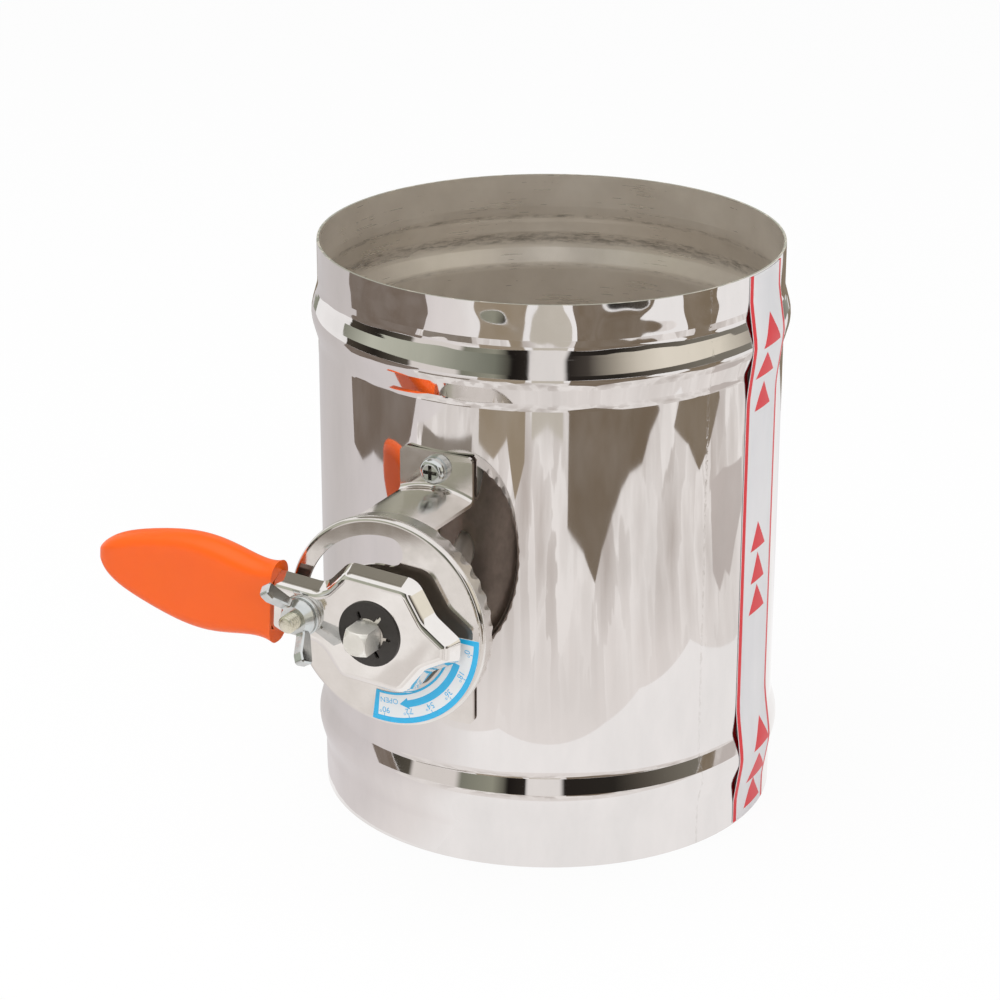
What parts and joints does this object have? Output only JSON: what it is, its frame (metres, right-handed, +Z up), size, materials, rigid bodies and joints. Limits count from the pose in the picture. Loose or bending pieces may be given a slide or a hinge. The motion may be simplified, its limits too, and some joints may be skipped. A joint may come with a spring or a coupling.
{
  "type": "manual duct damper",
  "caption": "Round stainless duct section with rolled beads, an inner butterfly blade, and an orange lever that turns it against a dished quadrant scale and locks with a wing nut.",
  "frame": {"origin": "centre of the lower rim, on the duct's axis", "axes": "+Z up the duct, -Y out along the shaft to the handle, +X to the right seen from the handle"},
  "size_m": [0.1885, 0.2283, 0.2],
  "materials": {
    "duct_steel": "mirror-polished stainless sheet, duller inside",
    "tape_film": "white printed film with red lines and arrows",
    "bush_nylon": "natural moulded nylon",
    "pressed_steel": "bright polished pressing",
    "label_film": "white film with a blue printed scale",
    "zinc": "bright zinc plate",
    "shaft_steel": "cold-drawn bar, plated",
    "blade_steel": "mill-finish stainless sheet",
    "grip_vinyl": "smooth orange vinyl",
    "black_spring_steel": "blackened spring steel"
  },
  "bodies": {
    "duct": {"duct_body": "duct_steel", "seam_tape": "tape_film", "front_bush": "bush_nylon", "rear_bush": "bush_nylon", "handle_bracket": "pressed_steel", "scale_label": "label_film", "bracket_screws": "zinc", "bracket_washers": "zinc", "bracket_nuts": "zinc"},
    "handle": {"shaft": "shaft_steel", "blade": "blade_steel", "blade_screws": "zinc", "lever": "pressed_steel", "lever_hub": "shaft_steel", "handle_grip": "grip_vinyl", "shaft_clip": "black_spring_steel", "rear_clip": "black_spring_steel", "clamp_bolt": "zinc", "clamp_sleeve": "zinc"},
    "clamp_washer": {"spring_washer": "zinc"},
    "wing_nut": {"wing_nut": "zinc"}
  },
  "joints": [
    {"name": "blade_turn", "type": "hinge", "parent": "duct", "child": "handle", "pos_m": [0, 0, 0.1], "axis": [0, 1, 0], "range_deg": [0, 90]},
    {"name": "washer_lift", "type": "slide", "parent": "handle", "child": "clamp_washer", "axis": [0, -1, 0], "range_m": [0, 0.0015]},
    {"name": "wing_nut_turn", "type": "hinge", "parent": "clamp_washer", "child": "wing_nut", "pos_m": [-0.02505, -0.1268, 0.10153], "axis": [0, -1, 0], "range_deg": [0, 540]}
  ],
  "couplings": [
    {"joint": "washer_lift", "follows": "wing_nut_turn", "m_per_rad": 0.00015915}
  ]
}
